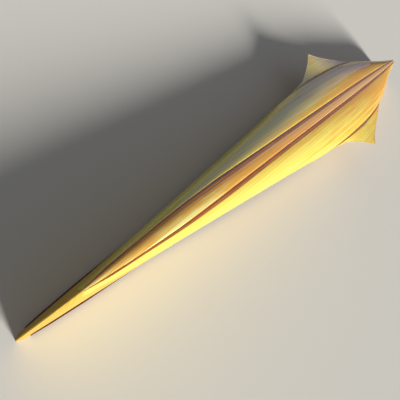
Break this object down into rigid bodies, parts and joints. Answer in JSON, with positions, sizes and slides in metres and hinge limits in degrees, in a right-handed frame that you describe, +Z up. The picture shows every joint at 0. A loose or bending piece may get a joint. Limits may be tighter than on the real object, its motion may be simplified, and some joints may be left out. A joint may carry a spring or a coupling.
{
  "type": "racing canoe",
  "caption": "Strip-planked marathon racing canoe for a crew of paddlers, with flared wings at its beam, parked upside down on its gunwales, with sliding bucket seats.",
  "frame": {"origin": "middle of the bounding box at ground level, under the upturned hull", "axes": "+X towards the bow, +Z up, with the keel on top and the open side down"},
  "size_m": [5.64, 0.8678, 0.376],
  "materials": {
    "cedar_planking": "clear varnish, high gloss",
    "dark_strip": "clear varnish, high gloss",
    "dark_gunwale": "oiled, satin",
    "ash_trim": "varnished, satin",
    "seat_shell": "moulded laminate, satin",
    "aluminium_tube": "satin"
  },
  "bodies": {
    "hull": {"accent_strip_port": "dark_strip", "accent_strip_starboard": "dark_strip", "bilge_planking_port": "cedar_planking", "bilge_planking_starboard": "cedar_planking", "brace_rail_bow_port": "ash_trim", "brace_rail_bow_starboard": "ash_trim", "brace_rail_stern_port": "ash_trim", "brace_rail_stern_starboard": "ash_trim", "deck_bow": "ash_trim", "deck_stern": "ash_trim", "foot_brace_bow": "aluminium_tube", "foot_brace_stern": "aluminium_tube", "inwale_port": "dark_gunwale", "inwale_starboard": "dark_gunwale", "keel_panel": "cedar_planking", "outwale_port": "dark_gunwale", "outwale_starboard": "dark_gunwale", "seat_bar_bow_aft": "aluminium_tube", "seat_bar_bow_fore": "aluminium_tube", "seat_bar_stern_aft": "aluminium_tube", "seat_bar_stern_fore": "aluminium_tube", "seat_rail_bow_port": "aluminium_tube", "seat_rail_bow_starboard": "aluminium_tube", "seat_rail_stern_port": "aluminium_tube", "seat_rail_stern_starboard": "aluminium_tube", "seat_riser_bow_port": "ash_trim", "seat_riser_bow_starboard": "ash_trim", "seat_riser_stern_port": "ash_trim", "seat_riser_stern_starboard": "ash_trim", "stem_bow": "cedar_planking", "stem_stern": "cedar_planking", "thwart_aft": "ash_trim", "thwart_fore": "ash_trim", "topside_planking_port": "cedar_planking", "topside_planking_starboard": "cedar_planking", "wing_planking_port": "cedar_planking", "wing_planking_starboard": "cedar_planking", "wing_root_strip_port": "dark_strip", "wing_root_strip_starboard": "dark_strip"},
    "bow_seat": {"seat_bucket_bow": "seat_shell", "seat_sleeves_bow": "aluminium_tube"},
    "stern_seat": {"seat_bucket_stern": "seat_shell", "seat_sleeves_stern": "aluminium_tube"}
  },
  "joints": [
    {"name": "bow_seat_slide", "type": "slide", "parent": "hull", "child": "bow_seat", "axis": [1, 0, 0], "range_m": [-0.1, 0.1]},
    {"name": "stern_seat_slide", "type": "slide", "parent": "hull", "child": "stern_seat", "axis": [1, 0, 0], "range_m": [-0.08, 0.08]}
  ]
}
